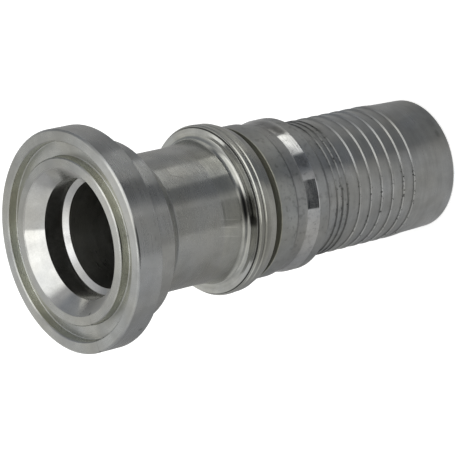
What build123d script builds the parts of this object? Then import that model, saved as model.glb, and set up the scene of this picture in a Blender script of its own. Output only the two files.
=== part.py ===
from build123d import *
import os

# Straight hose insert with a flange head, turned from one steel bar.
# The axis is Z: the tail end stands on Z = 0 and the flange face is at the top.
# Stations run from the flange face towards the tail, in millimetres.

# Flange head and the shoulder behind it
head_radius = 30.15
head_thickness = 8.0
face_edge = 0.5
back_edge = 0.3
shoulder_radius = 24.75
shoulder_length = 8.2

# Seal groove in the flange face
seal_rim_width = 3.35
seal_width = 4.2
seal_depth = 2.8
seal_edge = 0.3

# Bore: countersink inside the seal lip, wide bore, conical step, long bore
lip_width = 2.6
lip_edge = 0.3
countersink_depth = 4.55
wide_bore_length = 5.85
step_height = 1.7
step_length = 1.0
bore_radius = 14.7
bore_end_edge = 0.5

# Neck, with a slight flare and a cove up to the collar
neck_radius = 19.1
neck_length = 15.4
flare_length = 6.5
flare_rise = 0.4
cove_radius = 2.0

# Collar that the ferrule butts against, scored once around
collar_face_width = 0.52
collar_rim_width = 1.35
collar_rim_setback = 0.25
collar_edge = 0.3
collar_length = 2.3
score_width = 0.5
score_depth = 0.6
second_rim_drop = 0.15
second_rim_length = 1.85
relief_length = 2.8
relief_drop = 1.05

# Groove that locks the ferrule, and the plain land after it
lock_radius = 18.6
lock_length = 2.7
lock_corner = 0.4
land_height = 2.9
land_edge = 0.3
land_length = 5.8

# Shallow valley and the ridge, which is as high as the land
valley_depth = 0.8
valley_drop_length = 0.8
valley_length = 2.9
ridge_front_length = 4.1
ridge_length = 4.0
ridge_edge = 0.5
ridge_foot_length = 1.9

# Serrated hose tail: fine serrations first, then coarse ones
tail_radius = 19.25
lead_length = 2.75
serration_face = 0.3
fine_count = 3
fine_pitch = 2.05
fine_depth = 0.28
gap_length = 2.5
coarse_count = 6
coarse_pitch = 4.15
coarse_depth = 0.42

# Smooth end of the tail
last_crest_length = 2.2
last_crest_drop = 0.09
spigot_ramp_length = 3.3
spigot_drop = 0.37
spigot_length = 10.2
spigot_taper = 0.26
end_edge = 0.45


def head_outline():
    shoulder_end = head_thickness + shoulder_length
    return [
        (head_radius - face_edge, 0.0),
        (head_radius, face_edge),
        (head_radius, head_thickness - back_edge),
        (head_radius - back_edge, head_thickness),
        (shoulder_radius, head_thickness),
        (shoulder_radius, shoulder_end),
        (neck_radius, shoulder_end + shoulder_radius - neck_radius),
    ]


def neck_outline(start):
    flare_start = start + neck_length
    return [
        (neck_radius, flare_start),
        (neck_radius + flare_rise, flare_start + flare_length),
    ]


def collar_outline(start):
    face_radius = neck_radius + flare_rise + cove_radius + collar_face_width
    rim_start = start + collar_rim_setback
    rim_end = start + collar_length
    score_end = rim_end + score_width
    collar_radius = face_radius + collar_rim_width + collar_edge
    second_radius = collar_radius - second_rim_drop
    second_end = score_end + second_rim_length
    return [
        (face_radius, start),
        (collar_radius - collar_edge, rim_start),
        (collar_radius, rim_start + collar_edge),
        (collar_radius, rim_end),
        (collar_radius - score_depth, rim_end + score_width / 2),
        (second_radius, score_end),
        (second_radius, second_end),
        (second_radius - relief_drop, second_end + relief_length),
    ]


def lock_outline(start):
    end = start + lock_length
    return [
        (lock_radius + lock_corner, start),
        (lock_radius, start + lock_corner),
        (lock_radius, end - lock_corner),
        (lock_radius + lock_corner, end),
        (land_radius - land_edge, end),
        (land_radius, end + land_edge),
    ]


def ridge_outline(start):
    valley_radius = land_radius - valley_depth
    valley_start = start + valley_drop_length
    valley_end = valley_start + valley_length
    ridge_start = valley_end + ridge_front_length
    ridge_end = ridge_start + ridge_length
    return [
        (land_radius, start),
        (valley_radius, valley_start),
        (valley_radius, valley_end),
        (land_radius, ridge_start),
        (land_radius, ridge_end - ridge_edge),
        (land_radius - ridge_edge, ridge_end),
        (tail_radius, ridge_end + ridge_foot_length),
    ]


def serrations(start, count, pitch, depth):
    points = []
    for index in range(count):
        foot = start + index * pitch
        points.append((tail_radius - depth, foot))
        points.append((tail_radius, foot + serration_face))
    return points


def tail_outline(start):
    fine = serrations(start + lead_length, fine_count, fine_pitch, fine_depth)
    fine_end = fine[-2][1] + fine_pitch
    coarse = serrations(fine_end + gap_length, coarse_count, coarse_pitch, coarse_depth)
    crest_end = coarse[-1][1] + last_crest_length
    spigot_start = crest_end + spigot_ramp_length
    spigot_end = spigot_start + spigot_length
    end_radius = tail_radius - spigot_drop - spigot_taper
    return fine + coarse + [
        (tail_radius - last_crest_drop, crest_end),
        (tail_radius - spigot_drop, spigot_start),
        (end_radius, spigot_end),
        (end_radius - end_edge, spigot_end + end_edge),
    ]


land_radius = lock_radius + land_height
head = head_outline()
neck = neck_outline(head[-1][1])
cove_end = neck[-1][1] + cove_radius
collar = collar_outline(cove_end)
lock = lock_outline(collar[-1][1])
ridge = ridge_outline(lock[-1][1] + land_length - land_edge)
tail = tail_outline(ridge[-1][1])
overall_length = tail[-1][1]


def place(points):
    return [(radius, overall_length - station) for radius, station in points]


def revolved(outline):
    return revolve(make_face(Plane.XZ * outline), Axis.Z)


def turned_blank():
    front = place([(0.0, 0.0)] + head + neck)
    cove_top = (neck[-1][0] + cove_radius, cove_end)
    back = place([cove_top] + collar + lock + ridge + tail + [(0.0, overall_length)])
    cove = RadiusArc(front[-1], back[0], -cove_radius)
    return revolved(Polyline(*front) + cove + Polyline(*back) + Line(back[-1], front[0]))


def seal_groove():
    outer = head_radius - seal_rim_width
    inner = outer - seal_width
    outline = [
        (inner - seal_edge, 0.0),
        (inner, seal_edge),
        (inner, seal_depth),
        (outer, seal_depth),
        (outer, seal_edge),
        (outer + seal_edge, 0.0),
    ]
    return revolved(Polyline(*place(outline), close=True))


def through_bore():
    mouth_radius = head_radius - seal_rim_width - seal_width - lip_width
    wide_radius = bore_radius + step_height
    wide_end = countersink_depth + wide_bore_length
    outline = [
        (0.0, 0.0),
        (mouth_radius, 0.0),
        (mouth_radius - lip_edge, lip_edge),
        (wide_radius, countersink_depth),
        (wide_radius, wide_end),
        (bore_radius, wide_end + step_length),
        (bore_radius, overall_length - bore_end_edge),
        (bore_radius + bore_end_edge, overall_length),
        (0.0, overall_length),
    ]
    return revolved(Polyline(*place(outline), close=True))


fitting_body = turned_blank() - seal_groove() - through_bore()

os.makedirs("parts", exist_ok=True)
export_step(fitting_body, "parts/fitting_body.step")
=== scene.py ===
import math

import bpy
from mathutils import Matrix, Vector


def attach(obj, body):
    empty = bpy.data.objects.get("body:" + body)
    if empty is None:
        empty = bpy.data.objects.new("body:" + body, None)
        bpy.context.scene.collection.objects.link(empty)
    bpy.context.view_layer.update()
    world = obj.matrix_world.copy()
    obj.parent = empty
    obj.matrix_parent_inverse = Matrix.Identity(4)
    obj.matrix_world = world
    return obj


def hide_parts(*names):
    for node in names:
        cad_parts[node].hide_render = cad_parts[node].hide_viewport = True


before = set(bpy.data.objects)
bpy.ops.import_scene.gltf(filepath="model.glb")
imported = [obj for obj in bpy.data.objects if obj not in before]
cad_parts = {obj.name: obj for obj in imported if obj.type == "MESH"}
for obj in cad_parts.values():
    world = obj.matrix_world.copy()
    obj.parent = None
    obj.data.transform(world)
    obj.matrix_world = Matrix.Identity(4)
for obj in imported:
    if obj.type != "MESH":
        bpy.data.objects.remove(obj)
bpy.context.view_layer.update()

# Straight hose insert with a flange head, turned from one bar and zinc plated.
# Sizes are in millimetres, as in the part's source. Stations run from the flange face
# (station 0, at the top) down to the tail end, and radii from the axis.

MM = 0.001
LENGTH = 124.0
NODE = "fitting_body"

# Steps of the mesh round the axis, and the most that one step turns in a rounded corner
TURNS = 256
ARC_STEP = math.radians(14)

# Flange head, with the seal groove in its face, and the shoulder behind it
HEAD_R = 30.15
HEAD_END = 8.0
FACE_EDGE = 0.5
BACK_EDGE = 0.3
SEAL_OUTER_R = 26.8
SEAL_INNER_R = 22.6
SEAL_DEPTH = 2.8
SEAL_EDGE = 0.3
SHOULDER_R = 24.75
SHOULDER_END = 16.2

# Countersunk mouth, wide bore, conical step and long bore
MOUTH_R = 20.0
MOUTH_EDGE = 0.3
COUNTERSINK_END = 4.55
WIDE_BORE_R = 16.4
WIDE_BORE_END = 10.4
BORE_R = 14.7
BORE = 11.4
BORE_EDGE = 0.5

# Neck, with a slight flare and a cove up to the collar
NECK_R = 19.1
NECK = 21.85
FLARE = 37.25
COVE = 44.0

# Collar, scored in front of its first rim and again between its two rims
COLLAR_R = 23.67
COLLAR = 45.75
SCORE = 47.98
SECOND_RIM_R = COLLAR_R - 0.15
SECOND_RIM = 49.0
RELIEF = 50.4

# Groove that locks the ferrule, and the plain land after it
LOCK_R = 18.6
LOCK = 53.2
LAND_R = 21.5
LAND = 55.9

# Shallow valley, and the ridge that is as high as the land
VALLEY_R = 20.7
VALLEY = 61.7
VALLEY_DROP = 0.8
FLANK = 65.4
RIDGE = 69.5
RIDGE_END = 73.5
RIDGE_EDGE = 0.5

# Hose tail: fine serrations, coarse serrations and the smooth end
TAIL_R = 19.25
TAIL = 75.4
SERRATION_FACE = 0.3
FINE_START = 78.15
FINE_PITCH = 2.05
FINE_COUNT = 3
FINE_DEPTH = 0.28
COARSE_START = 86.8
COARSE_PITCH = 4.15
COARSE_COUNT = 6
COARSE_DEPTH = 0.42
CREST_END = 110.05
SPIGOT = 113.35
END_R = TAIL_R - 0.63
END_EDGE = 0.45


def serrations(start, count, pitch, depth):
    """Corners of a row of serrations: each foot, and the crest that its short face rises to."""
    corners = []
    for index in range(count):
        foot = start + index * pitch
        corners.append((TAIL_R - depth, foot, 0.06))
        corners.append((TAIL_R, foot + SERRATION_FACE, 0.08))
    return corners


def outline():
    """Corners of the section as (radius, station, rounding), once around the metal."""
    face = [
        (MOUTH_R, 0.0, 0.2),
        (SEAL_INNER_R - SEAL_EDGE, 0.0, 0.1),
        (SEAL_INNER_R, SEAL_EDGE, 0.12),
        (SEAL_INNER_R, SEAL_DEPTH, 0.4),
        (SEAL_OUTER_R, SEAL_DEPTH, 0.4),
        (SEAL_OUTER_R, SEAL_EDGE, 0.12),
        (SEAL_OUTER_R + SEAL_EDGE, 0.0, 0.1),
    ]
    head = [
        (HEAD_R - FACE_EDGE, 0.0, 0.3),
        (HEAD_R, FACE_EDGE, 0.3),
        (HEAD_R, HEAD_END - BACK_EDGE, 0.12),
        (HEAD_R - BACK_EDGE, HEAD_END, 0.12),
        (SHOULDER_R, HEAD_END, 0.5),
        (SHOULDER_R, SHOULDER_END, 0.3),
        (NECK_R, NECK, 0.9),
    ]
    neck = [
        (NECK_R, FLARE, 12.0),
        (NECK_R + 0.41, COVE, 4.0),
        (NECK_R + 1.22, COLLAR, 1.5),
    ]
    first_rim = [
        (COLLAR_R - 1.65, COLLAR, 0.3),
        (COLLAR_R - 0.62, COLLAR + 0.2, 0.06),
        (COLLAR_R - 0.85, COLLAR + 0.34, 0.05),
        (COLLAR_R - 0.8, COLLAR + 0.58, 0.05),
        (COLLAR_R - 0.36, COLLAR + 0.7, 0.05),
        (COLLAR_R - 0.28, COLLAR + 1.0, 0.12),
        (COLLAR_R, COLLAR + 1.3, 0.2),
    ]
    second_rim = [
        (COLLAR_R, SCORE, 0.12),
        (COLLAR_R - 0.7, SCORE + 0.18, 0.05),
        (COLLAR_R - 0.7, SCORE + 0.4, 0.05),
        (COLLAR_R - 0.42, SCORE + 0.52, 0.05),
        (COLLAR_R - 0.36, SCORE + 0.78, 0.12),
        (SECOND_RIM_R, SECOND_RIM, 0.2),
        (SECOND_RIM_R, RELIEF, 0.4),
        (COLLAR_R - 1.2, LOCK, 0.15),
    ]
    lock = [
        (LOCK_R, LOCK, 0.4),
        (LOCK_R, LAND, 0.4),
        (LAND_R - 0.12, LAND, 0.05),
        (LAND_R, LAND + 0.12, 0.1),
    ]
    ridge = [
        (LAND_R, VALLEY, 0.5),
        (VALLEY_R, VALLEY + VALLEY_DROP, 0.8),
        (VALLEY_R, FLANK, 0.8),
        (LAND_R, RIDGE, 1.0),
        (LAND_R, RIDGE_END - RIDGE_EDGE, 0.4),
        (LAND_R - RIDGE_EDGE, RIDGE_END, 0.4),
        (TAIL_R, TAIL, 1.0),
    ]
    fine = serrations(FINE_START, FINE_COUNT, FINE_PITCH, FINE_DEPTH)
    coarse = serrations(COARSE_START, COARSE_COUNT, COARSE_PITCH, COARSE_DEPTH)
    end = [
        (TAIL_R - 0.09, CREST_END, 3.0),
        (TAIL_R - 0.37, SPIGOT, 3.0),
        (END_R, LENGTH - END_EDGE, 0.3),
        (END_R - END_EDGE, LENGTH, 0.3),
    ]
    inside = [
        (BORE_R + BORE_EDGE, LENGTH, 0.15),
        (BORE_R, LENGTH - BORE_EDGE, 0.15),
        (BORE_R, BORE, 0.15),
        (WIDE_BORE_R, WIDE_BORE_END, 0.15),
        (WIDE_BORE_R, COUNTERSINK_END, 0.12),
        (MOUTH_R - MOUTH_EDGE, MOUTH_EDGE, 0.2),
    ]
    collar = first_rim + second_rim
    return face + head + neck + collar + lock + ridge + fine + coarse + end + inside


def left_of(direction):
    return Vector((-direction.y, direction.x))


def rounded(corners):
    """Spans of the closed outline, each a list of (point, normal); arcs round the corners."""
    points = [Vector((radius, LENGTH - station)) for radius, station, _ in corners]
    arcs = []
    for index, corner in enumerate(points):
        rounding = corners[index][2]
        before = (corner - points[index - 1]).normalized()
        after = (points[(index + 1) % len(points)] - corner).normalized()
        turn = before.angle_signed(after)
        cut = rounding * math.tan(abs(turn) / 2)
        reach = math.copysign(rounding, turn)
        first, last = left_of(before), left_of(after)
        centre = corner - before * cut - first * reach
        steps = max(2, math.ceil(abs(turn) / ARC_STEP))
        normals = [first.slerp(last, step / steps) for step in range(steps + 1)]
        arcs.append([(centre + normal * reach, normal) for normal in normals])
    spans = []
    for arc, following in zip(arcs, arcs[1:] + arcs[:1]):
        spans.append(arc)
        spans.append([arc[-1], following[0]])
    return spans


def lathe(name, corners):
    """A closed turned mesh that is shaded with the outline's own normals."""
    ring_points, strips = [], []
    for span in rounded(corners):
        for (start, near), (_, far) in zip(span, span[1:]):
            ring_points.append(start)
            strips.append((near, far))
    directions = []
    for step in range(TURNS):
        angle = 2 * math.pi * step / TURNS
        directions.append((math.cos(angle), math.sin(angle)))
    verts = [
        (point.x * MM * cosine, point.x * MM * sine, point.y * MM)
        for point in ring_points
        for cosine, sine in directions
    ]
    faces, normals = [], []
    for ring, (near, far) in enumerate(strips):
        row = ring * TURNS
        next_row = (ring + 1) % len(ring_points) * TURNS
        for step in range(TURNS):
            after = (step + 1) % TURNS
            faces.append((row + step, next_row + step, next_row + after, row + after))
            for normal, side in ((near, step), (far, step), (far, after), (near, after)):
                cosine, sine = directions[side]
                normals.append((normal.x * cosine, normal.x * sine, normal.y))
    mesh = bpy.data.meshes.new(name)
    mesh.from_pydata(verts, [], faces)
    mesh.polygons.foreach_set("use_smooth", [True] * len(faces))
    mesh.normals_split_custom_set(normals)
    piece = bpy.data.objects.new(name, mesh)
    bpy.context.scene.collection.objects.link(piece)
    return piece


# Materials


def grey(level):
    return (level, level, level, 1)


class Graph:
    """Short names for the nodes that a material or the world is wired from."""

    def __init__(self, tree):
        self.tree = tree

    def node(self, kind, **settings):
        made = self.tree.nodes.new(kind)
        for key, value in settings.items():
            setattr(made, key, value)
        return made

    def feed(self, socket, value):
        if isinstance(value, bpy.types.NodeSocket):
            self.tree.links.new(value, socket)
        else:
            socket.default_value = value

    def math(self, operation, *values):
        made = self.node("ShaderNodeMath", operation=operation)
        for socket, value in zip(made.inputs, values):
            self.feed(socket, value)
        return made.outputs[0]

    def add(self, first, second):
        return self.math("ADD", first, second)

    def subtract(self, first, second):
        return self.math("SUBTRACT", first, second)

    def divide(self, first, second):
        return self.math("DIVIDE", first, second)

    def multiply(self, product, *others):
        for other in others:
            product = self.math("MULTIPLY", product, other)
        return product

    def distance(self, x, y):
        return self.math("SQRT", self.add(self.multiply(x, x), self.multiply(y, y)))

    def smooth(self, value, low, high, to_low=0.0, to_high=1.0):
        made = self.node("ShaderNodeMapRange", interpolation_type="SMOOTHSTEP")
        for socket, setting in zip(made.inputs, (value, low, high, to_low, to_high)):
            self.feed(socket, setting)
        return made.outputs[0]

    def between(self, value, low, low_edge, high, high_edge):
        """1 inside a range with soft edges, and 0 outside it."""
        rise = self.smooth(value, low - low_edge, low + low_edge)
        fall = self.smooth(value, high - high_edge, high + high_edge, 1.0, 0.0)
        return self.multiply(rise, fall)

    def split(self, vector):
        made = self.node("ShaderNodeSeparateXYZ")
        self.feed(made.inputs[0], vector)
        return made.outputs

    def ramp(self, value, stops, interpolation="LINEAR"):
        """Stops are (position, colour), where a colour may be one number for a grey."""
        made = self.node("ShaderNodeValToRGB")
        made.color_ramp.interpolation = interpolation
        elements = made.color_ramp.elements
        while len(elements) < len(stops):
            elements.new(1.0)
        for element, (position, color) in zip(elements, stops):
            element.position = position
            element.color = grey(color) if isinstance(color, float) else (*color, 1)
        self.feed(made.inputs[0], value)
        return made.outputs[0]

    def noise(self, vector, scale, detail, roughness, fourth=None):
        """Noise in three dimensions, or in four where a fourth coordinate is given."""
        made = self.node("ShaderNodeTexNoise")
        self.feed(made.inputs["Vector"], vector)
        if fourth is not None:
            made.noise_dimensions = "4D"
            self.feed(made.inputs["W"], fourth)
        made.inputs["Scale"].default_value = scale
        made.inputs["Detail"].default_value = detail
        made.inputs["Roughness"].default_value = roughness
        return made.outputs["Fac"]

    def mix(self, factor, under, over, blend="MIX"):
        made = self.node("ShaderNodeMix", data_type="RGBA", blend_type=blend)
        self.feed(made.inputs[0], factor)
        self.feed(made.inputs[6], under)
        self.feed(made.inputs[7], over)
        return made.outputs[2]


# Outside of the fitting from the face down, matched one by one: station where the zone starts,
# colour, roughness, and how strongly the tool lines show.
OUTER_ZONES = [
    (0.0, (0.36, 0.363, 0.362), 0.28, 0.25),
    (16.3, (0.36, 0.363, 0.355), 0.28, 0.3),
    (21.8, (0.365, 0.365, 0.35), 0.25, 0.3),
    (37.3, (0.37, 0.37, 0.345), 0.2, 0.4),
    (43.5, (0.42, 0.42, 0.395), 0.13, 0.3),
    (46.1, (0.39, 0.39, 0.365), 0.17, 0.8),
    (50.4, (0.36, 0.36, 0.34), 0.22, 1.0),
    (53.25, (0.41, 0.41, 0.365), 0.5, 0.5),
    (55.85, (0.33, 0.335, 0.33), 0.34, 0.2),
    (61.7, (0.32, 0.32, 0.315), 0.30, 0.6),
    (65.5, (0.49, 0.49, 0.488), 0.08, 0.1),
    (69.5, (0.34, 0.343, 0.34), 0.34, 0.4),
    (73.4, (0.34, 0.343, 0.34), 0.30, 1.0),
]

# Zones that the station alone doesn't tell apart, each over the ones before it: station from
# and to, radius from and to, then colour, roughness and lines. In order they are the flange
# face, the countersink, the seal groove, the wide bore, the conical step, the long bore, the
# front of the collar, painted shade in its two scores, and painted shade on the lower wall of
# the lock groove.
INNER_ZONES = [
    (-1.0, 4.6, 0.0, 29.9, (0.41, 0.412, 0.40), 0.28, 0.4),
    (0.1, 4.6, 0.0, 20.0, (0.49, 0.49, 0.485), 0.12, 0.1),
    (0.3, 2.6, 22.3, 27.1, (0.58, 0.585, 0.51), 0.28, 0.6),
    (4.6, 10.3, 0.0, 17.0, (0.46, 0.46, 0.445), 0.2, 0.3),
    (10.3, 11.5, 0.0, 17.0, (0.48, 0.48, 0.475), 0.13, 0.1),
    (11.5, 123.4, 0.0, 17.0, (0.33, 0.33, 0.31), 0.3, 0.8),
    (45.5, 46.0, 21.6, 23.2, (0.45, 0.45, 0.43), 0.14, 0.3),
    # The next two zones are painted shade in the bottoms of the collar's two scores
    (46.02, 46.5, 22.5, 23.2, (0.10, 0.10, 0.095), 0.4, 0.2),
    (48.0, 48.5, 22.8, 23.22, (0.10, 0.10, 0.095), 0.4, 0.2),
    # Painted shade on the lower wall of the lock groove
    (55.6, 56.0, 19.2, 21.42, (0.25, 0.25, 0.215), 0.5, 0.3),
]
ZONE_EDGE = 0.02

# Darker lines and flecks in the feet of the serrations: first foot, pitch, count, how far the
# dark line reaches past each foot, how dark it is, and the share of it away from the side
# towards +Y.
FEET_DARKENING = [
    (FINE_START, FINE_PITCH, FINE_COUNT, 0.3, 0.7, 0.8),
    (COARSE_START, COARSE_PITCH, COARSE_COUNT, 0.1, 0.55, 0.05),
]
FLECK_REACH = 0.45
FLECK_DARK = 0.85

# Small marks, placed one by one: station, turn in degrees from the side at -X, half length, half
# width, tilt of the length from the axis in degrees, and how dark, or how light below zero.
MARKS = [
    (2.7, 1.6, 0.35, 0.3, 0, 0.25),
    (6.6, 6.0, 0.3, 1.2, 0, 0.15),
    (6.0, -1.5, 0.35, 1.0, 0, 0.2),
    (5.8, -54.4, 0.9, 0.9, 0, 0.35),
    (27.4, 40.0, 3.2, 0.28, -28, 0.3),
    (0.4, -78.5, 0.5, 0.5, 0, 0.7),
    (81.9, 57.0, 0.4, 0.4, 0, 0.8),
    (80.4, 24.6, 0.3, 0.6, 0, 0.8),
    (79.5, 0.7, 0.3, 0.4, 0, 0.7),
    (80.3, 42.7, 0.35, 0.4, 0, 0.7),
    (82.3, 63.7, 0.3, 0.4, 0, 0.7),
    (103.1, 57.8, 0.4, 0.5, 0, 0.7),
    (121.1, 26.7, 1.1, 1.8, 0, 0.25),
    (121.0, 38.7, 1.8, 2.4, 0, 0.15),
]

# Faint light lines across the flare, in the same columns. They run level in the photograph
# and not along the fitting, so they probably lie on the picture and not on the steel.
LEVEL_LINES = [
    (39.2, -4.8, 5.2, 0.25, -10, -0.2),
    (39.0, -11.0, 5.2, 0.25, -10, -0.2),
    (39.0, -18.5, 5.2, 0.25, -10, -0.16),
]

# Reflections of the photograph that the light of this scene doesn't give, painted into the
# colour in the same columns. They aren't wear, and they stay put when the light changes.
# In order they are on the cove, the front of the collar, the collar, its relief, the ridge,
# the flange face and the edges beside it.
PAINTED_REFLECTIONS = [
    (44.7, 2.0, 1.7, 6.6, 0, 0.85),
    (44.9, 1.0, 0.8, 4.8, 0, 0.6),
    (45.7, -8.5, 0.4, 2.6, 0, 0.85),
    (48.2, -18.0, 3.6, 14.0, 0, 0.4),
    (51.8, 62.0, 1.6, 8.0, 0, 0.45),
    (68.0, 60.0, 2.0, 3.2, 0, 0.5),
    (67.5, 74.0, 2.6, 9.0, 0, 0.5),
    (0.0, 18.0, 0.6, 22.0, 0, -0.2),
    (0.0, 110.0, 0.6, 34.0, 0, 0.12),
    (0.45, -2.0, 0.35, 9.0, 0, 0.85),
]

# Share of a mark's half size that is darkest, before it fades
MARK_CORE = 0.3

# Stains cover this stretch. A darker edge follows the end of the land, as the photograph
# shows it, whether it is dirt or a reflection there.
STAIN_START = 57.0
STAIN_END = 84.0
STAIN_DARK = 0.3
LAND_EDGE_DARK = 0.3
LAND_EDGE_WIDTH = 0.9

# Tool lines: pitch, and how quickly they change round the axis
BROAD_RINGS = (1.1, 1.6)
FINE_RINGS = (0.42, 2.5)
RING_SHADE = 0.35
RING_DEPTH = 0.006
RING_BUMP = 0.9

# Faint drift of the plating between a warm and a cool grey: position, tint
TINTS = [(0.35, (1.01, 1.0, 0.965)), (0.65, (0.985, 1.0, 1.02))]


class Place:
    """Where a shaded point lies on the fitting, in millimetres and as a turn about its axis."""

    def __init__(self, graph):
        scaled = graph.node("ShaderNodeVectorMath", operation="SCALE")
        graph.feed(scaled.inputs[0], graph.node("ShaderNodeTexCoord").outputs["Object"])
        scaled.inputs["Scale"].default_value = 1 / MM
        self.point = scaled.outputs[0]
        x, y, z = graph.split(self.point)
        self.radius = graph.distance(x, y)
        self.station = graph.subtract(LENGTH, z)
        self.east = graph.divide(x, self.radius)
        self.north = graph.divide(y, self.radius)
        turn = graph.math("ARCTAN2", graph.multiply(y, -1.0), graph.multiply(x, -1.0))
        self.turn = graph.math("DEGREES", turn)
        self.outside = graph.math("GREATER_THAN", self.radius, WIDE_BORE_R)

    def rings(self, graph, pitch, around):
        """Noise drawn out round the axis, as the lathe tool leaves it; pitch in millimetres."""
        vector = graph.node("ShaderNodeCombineXYZ")
        graph.feed(vector.inputs[0], graph.multiply(self.east, around))
        graph.feed(vector.inputs[1], graph.multiply(self.north, around))
        graph.feed(vector.inputs[2], graph.divide(self.radius, pitch))
        along = graph.divide(self.station, pitch)
        return graph.noise(vector.outputs[0], 1.0, 2.0, 0.6, along)


def zoned(graph, at):
    """The finish of every zone of the fitting, with painted shade in some: colour, roughness and
    line strength.
    """
    share = graph.divide(at.station, LENGTH)
    finish = []
    for column in (1, 2, 3):
        stops = [(zone[0] / LENGTH, zone[column]) for zone in OUTER_ZONES]
        finish.append(graph.ramp(share, stops, "CONSTANT"))
    for start, end, inner, outer, color, roughness, lines in INNER_ZONES:
        along = graph.between(at.station, start, ZONE_EDGE, end, ZONE_EDGE)
        outward = graph.between(at.radius, inner, ZONE_EDGE, outer, ZONE_EDGE)
        mask = graph.multiply(along, outward)
        zone = [(*color, 1), grey(roughness), grey(lines)]
        finish = [graph.mix(mask, under, over) for under, over in zip(finish, zone)]
    return finish


def marks_and_painted_reflections(graph, at):
    """How much of the colour the small marks, level lines and painted reflections leave."""
    left = 1.0
    spots = MARKS + LEVEL_LINES + PAINTED_REFLECTIONS
    for station, turn, half_length, half_width, tilt, dark in spots:
        along = graph.subtract(at.station, station)
        across = graph.subtract(at.turn, turn)
        across = graph.multiply(across, math.pi / 180, at.radius)
        cosine, sine = math.cos(math.radians(tilt)), math.sin(math.radians(tilt))
        lengthways = graph.add(
            graph.multiply(along, cosine / half_length),
            graph.multiply(across, sine / half_length),
        )
        sideways = graph.subtract(
            graph.multiply(across, cosine / half_width),
            graph.multiply(along, sine / half_width),
        )
        reach = graph.distance(lengthways, sideways)
        left = graph.multiply(left, graph.smooth(reach, MARK_CORE, 1.0, 1.0 - dark, 1.0))
    return left


def darkened_feet(graph, at):
    """How much of the colour the darker lines and flecks in the feet of the serrations leave."""
    specks = graph.smooth(graph.noise(at.point, 1.1, 3.0, 0.7), 0.565, 0.64)
    near = graph.smooth(at.turn, -2.0, 14.0, 1.0, 0.0)
    left = 1.0
    for foot, pitch, count, reach, dark, far in FEET_DARKENING:
        start = foot - pitch / 2
        along = graph.math("FLOORED_MODULO", graph.subtract(at.station, start), pitch)
        offset = graph.subtract(along, pitch / 2)
        line = graph.multiply(graph.between(offset, -0.1, 0.05, reach, 0.06), dark)
        flecks = graph.between(offset, -FLECK_REACH, 0.2, FLECK_REACH, 0.2)
        flecks = graph.multiply(flecks, specks, FLECK_DARK)
        row = graph.between(at.station, start, 0.01, start + count * pitch, 0.01)
        foot_darkening = graph.math("MAXIMUM", line, flecks)
        foot_darkening = graph.multiply(foot_darkening, graph.math("MAXIMUM", near, far), row, at.outside)
        left = graph.multiply(left, graph.subtract(1.0, foot_darkening))
    return left


def stains_and_land_edge(graph, at):
    """How much of the colour the stains after the lock groove and the darker land edge leave."""
    blots = graph.smooth(graph.noise(at.point, 0.55, 4.0, 0.68), 0.5, 0.68, 0.0, STAIN_DARK)
    blots = graph.multiply(blots, graph.between(at.station, STAIN_START, 1.0, STAIN_END, 3.0))
    edge = graph.between(at.station, VALLEY, 0.5, VALLEY + LAND_EDGE_WIDTH, 0.5)
    edge = graph.multiply(edge, LAND_EDGE_DARK)
    stains_and_edge = graph.multiply(graph.add(blots, edge), at.outside)
    return graph.subtract(1.0, stains_and_edge)


def dulled(graph, at):
    """Roughness added on the countersink towards -X, so that it mirrors more softly there."""
    along = graph.between(at.station, 0.1, 0.05, COUNTERSINK_END + 0.05, 0.05)
    mouth = graph.multiply(along, graph.math("LESS_THAN", at.radius, MOUTH_R))
    aside = graph.math("ABSOLUTE", at.turn)
    return graph.multiply(mouth, graph.smooth(aside, 76.0, 106.0, 0.33, 0.0))


def plated_steel():
    made = bpy.data.materials.new("plated_steel")
    made.use_nodes = True
    graph = Graph(made.node_tree)
    shader = made.node_tree.nodes["Principled BSDF"]
    at = Place(graph)
    color, roughness, lines = zoned(graph, at)
    mottle = graph.noise(at.point, 0.16, 4.0, 0.6)
    grain = graph.noise(at.point, 2.2, 2.0, 0.6)
    broad_rings = at.rings(graph, *BROAD_RINGS)
    fine_rings = at.rings(graph, *FINE_RINGS)

    shade = graph.smooth(mottle, 0.3, 0.7, 0.9, 1.08)
    shade = graph.multiply(shade, graph.smooth(grain, 0.25, 0.75, 0.965, 1.035))
    ringed = graph.multiply(graph.subtract(broad_rings, 0.5), lines, RING_SHADE)
    shade = graph.multiply(shade, graph.add(1.0, ringed))
    # Small marks with the painted reflections, the darker serration feet, and the stains and
    # land edge
    for cover in (marks_and_painted_reflections, darkened_feet, stains_and_land_edge):
        shade = graph.multiply(shade, cover(graph, at))
    tint = graph.ramp(graph.noise(at.point, 0.07, 2.0, 0.5), TINTS)
    for layer in (tint, shade):
        color = graph.mix(1.0, color, layer, "MULTIPLY")
    graph.feed(shader.inputs["Base Color"], color)

    changes = [
        dulled(graph, at),
        graph.smooth(mottle, 0.3, 0.7, 0.03, -0.02),
        graph.smooth(fine_rings, 0.3, 0.7, -0.02, 0.03),
    ]
    for change in changes:
        roughness = graph.add(roughness, change)
    graph.feed(shader.inputs["Roughness"], roughness)
    shader.inputs["Metallic"].default_value = 1.0

    # The tool lines run round the axis, so the gloss is drawn out across them
    shader.inputs["Anisotropic"].default_value = 0.8
    shader.inputs["Anisotropic Rotation"].default_value = 0.25
    tangent = graph.node("ShaderNodeTangent", direction_type="RADIAL", axis="Z")
    graph.feed(shader.inputs["Tangent"], tangent.outputs[0])

    bump = graph.node("ShaderNodeBump")
    bump.inputs["Distance"].default_value = RING_DEPTH * MM
    graph.feed(bump.inputs["Strength"], graph.multiply(lines, RING_BUMP))
    height = graph.add(broad_rings, graph.multiply(fine_rings, 0.5))
    graph.feed(bump.inputs["Height"], height)
    graph.feed(shader.inputs["Normal"], bump.outputs[0])
    return made


# The fitting

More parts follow.
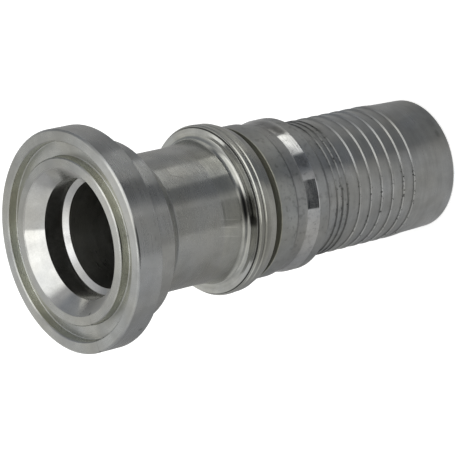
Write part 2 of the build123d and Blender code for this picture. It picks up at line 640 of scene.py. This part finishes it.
body = lathe("turned_fitting", outline())
body.data.materials.append(plated_steel())
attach(body, "root")
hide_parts(NODE)

# Floor, light and camera

WARM = (1.0, 1.0, 0.975)
COOL = (0.95, 0.99, 1.05)
WHITE = grey(1)

# Brightness of the sky dome from the horizon to overhead: elevation in degrees, brightness.
SKY = [(0, 0.5), (35, 0.6), (47, 0.72), (59, 0.95), (71, 1.4), (81, 1.95)]

# Soft boxes and dark flags of the studio, each over the ones before it: azimuth from and to
# with the softness of each edge, elevation from and to with theirs, brightness, tint.
PANELS = [
    (0, 1, 45, 15, -5, 5, 40, 12, 0.82, WARM),
    (340, 10, 360, 1, 15, 8, 50, 12, 0.75, WARM),
    (72, 10, 175, 5, 15, 8, 44, 8, 0.95, WARM),
    (284, 8, 345, 10, -10, 5, 33, 10, 0.36, COOL),
    (130, 12, 212, 8, -10, 5, 17, 7, 0.22, COOL),
    (215, 10, 264, 9, -10, 5, 40, 8, 1.3, WARM),
    (152, 1.2, 266, 9, 29, 8, 58, 4, 1.9, WARM),
    (140, 10, 200, 12, 61, 3, 73, 4, 0.5, WARM),
    (147, 1.5, 194, 9, 57, 3, 80, 3, 0.10, COOL),
    (336, 3, 353, 2, 46, 3, 57, 3, 1.6, WARM),
]

# What the steel mirrors in place of the white floor that the camera sees: azimuth in
# degrees, brightness as a share of white.
FLOOR_ROUND = [
    (0, 0.37), (45, 0.32), (75, 0.38), (105, 0.52), (135, 0.60), (165, 0.62), (192, 0.55),
    (205, 0.38), (225, 0.31), (246, 0.33), (286, 0.46), (320, 0.45), (345, 0.37),
]

# Lighter and darker places in that, each over the ones before it: azimuth from and to with
# the softness of each edge, distance from the axis in metres from and to with theirs,
# brightness, tint.
FLOOR_PATCHES = [
    (0, 1, 360, 1, 0.28, 0.08, 9, 1, 0.72, WARM),
    (206, 8, 280, 8, 0.24, 0.04, 9, 1, 0.25, COOL),
    (138, 10, 200, 6, 0.23, 0.03, 9, 1, 1.0, WARM),
    (206, 4, 246, 4, 0.02, 0.02, 0.25, 0.05, 0.26, COOL),
    (148, 12, 196, 6, 0.062, 0.012, 0.10, 0.02, 0.75, WARM),
    (248, 2, 285, 4, 0.10, 0.03, 0.145, 0.01, 0.62, WARM),
    (212, 8, 264, 8, 0.178, 0.008, 0.28, 0.03, 0.07, COOL),
    (268, 2, 296, 5, 0.15, 0.006, 0.18, 0.01, 0.18, COOL),
    (232, 3, 268, 1.5, 0.146, 0.006, 0.172, 0.005, 2.1, WARM),
    (157, 1, 195, 1, 0.148, 0.003, 0.235, 0.01, 0.055, COOL),
    (0, 1, 360, 1, -0.1, 0.01, 0.016, 0.002, 0.02, WARM),
]

# Colour of the lit floor, and what lifts it to white for the camera alone
FLOOR_SIZE = 6.0
FLOOR_COLOR = 0.78
FLOOR_LIFT = 0.5


def azimuth(graph, x, y):
    turn = graph.math("DEGREES", graph.math("ARCTAN2", y, x))
    return graph.math("FLOORED_MODULO", turn, 360.0)


def painted(graph, color, turn, reach, patches):
    """A colour with patches over it, each a range of azimuth and a range of reach."""
    for start, start_edge, end, end_edge, near, near_edge, far, far_edge, level, tint in patches:
        around = graph.between(turn, start, start_edge, end, end_edge)
        outward = graph.between(reach, near, near_edge, far, far_edge)
        mask = graph.multiply(around, outward)
        color = graph.mix(mask, color, (*(level * share for share in tint), 1))
    return color


def seen(graph, *rays):
    """1 for the kinds of ray named, such as Is Camera Ray, and 0 for the others."""
    path = graph.node("ShaderNodeLightPath")
    total = path.outputs[rays[0]]
    for ray in rays[1:]:
        total = graph.math("MAXIMUM", total, path.outputs[ray])
    return total


def studio():
    """A sky dome with soft boxes for the light and the steel, and white to the camera."""
    world = bpy.data.worlds.new("studio")
    bpy.context.scene.world = world
    world.use_nodes = True
    graph = Graph(world.node_tree)
    x, y, z = graph.split(graph.node("ShaderNodeTexCoord").outputs["Generated"])
    elevation = graph.math("DEGREES", graph.math("ARCSINE", z))
    stops = [(degrees / 90, level) for degrees, level in SKY]
    light = graph.ramp(graph.divide(elevation, 90.0), stops)
    light = painted(graph, light, azimuth(graph, x, y), elevation, PANELS)
    light = graph.mix(seen(graph, "Is Camera Ray"), light, WHITE)
    graph.feed(world.node_tree.nodes["Background"].inputs["Color"], light)


def floor():
    """White to the camera with the fitting's soft shadow; the steel mirrors a grey pattern."""
    bpy.ops.mesh.primitive_plane_add(size=FLOOR_SIZE)
    plane = bpy.context.object
    plane.name = "floor"
    made = bpy.data.materials.new("floor")
    made.use_nodes = True
    nodes = made.node_tree.nodes
    graph = Graph(made.node_tree)
    shader = nodes["Principled BSDF"]
    shader.inputs["Base Color"].default_value = grey(FLOOR_COLOR)
    shader.inputs["Roughness"].default_value = 1.0
    shader.inputs["Specular IOR Level"].default_value = 0.0
    shader.inputs["Emission Color"].default_value = WHITE
    lift = graph.multiply(seen(graph, "Is Camera Ray"), FLOOR_LIFT)
    graph.feed(shader.inputs["Emission Strength"], lift)

    x, y, _ = graph.split(graph.node("ShaderNodeTexCoord").outputs["Object"])
    turn = azimuth(graph, x, y)
    stops = [(degrees / 360, level) for degrees, level in FLOOR_ROUND]
    ring = graph.ramp(graph.divide(turn, 360.0), stops)
    pattern = painted(graph, ring, turn, graph.distance(x, y), FLOOR_PATCHES)
    mirrored = graph.node("ShaderNodeEmission")
    graph.feed(mirrored.inputs["Color"], pattern)
    choice = graph.node("ShaderNodeMixShader")
    graph.feed(choice.inputs[0], seen(graph, "Is Glossy Ray", "Is Transmission Ray"))
    graph.feed(choice.inputs[1], shader.outputs[0])
    graph.feed(choice.inputs[2], mirrored.outputs[0])
    graph.feed(nodes["Material Output"].inputs["Surface"], choice.outputs[0])
    plane.data.materials.append(made)


def camera():
    """The photograph's view: place in metres, rotation in radians, lens in millimetres."""
    data = bpy.data.cameras.new("camera")
    data.lens = 213.626
    data.sensor_width = 36.0
    data.clip_start = 0.01
    data.clip_end = 20.0
    made = bpy.data.objects.new("camera", data)
    made.location = (-0.579344, -0.063814, 0.529276)
    made.rotation_euler = (-0.2861351, 0.8706799, 2.8941747)
    bpy.context.scene.collection.objects.link(made)
    bpy.context.scene.camera = made


floor()
studio()
camera()
bpy.context.scene.view_settings.view_transform = "Standard"
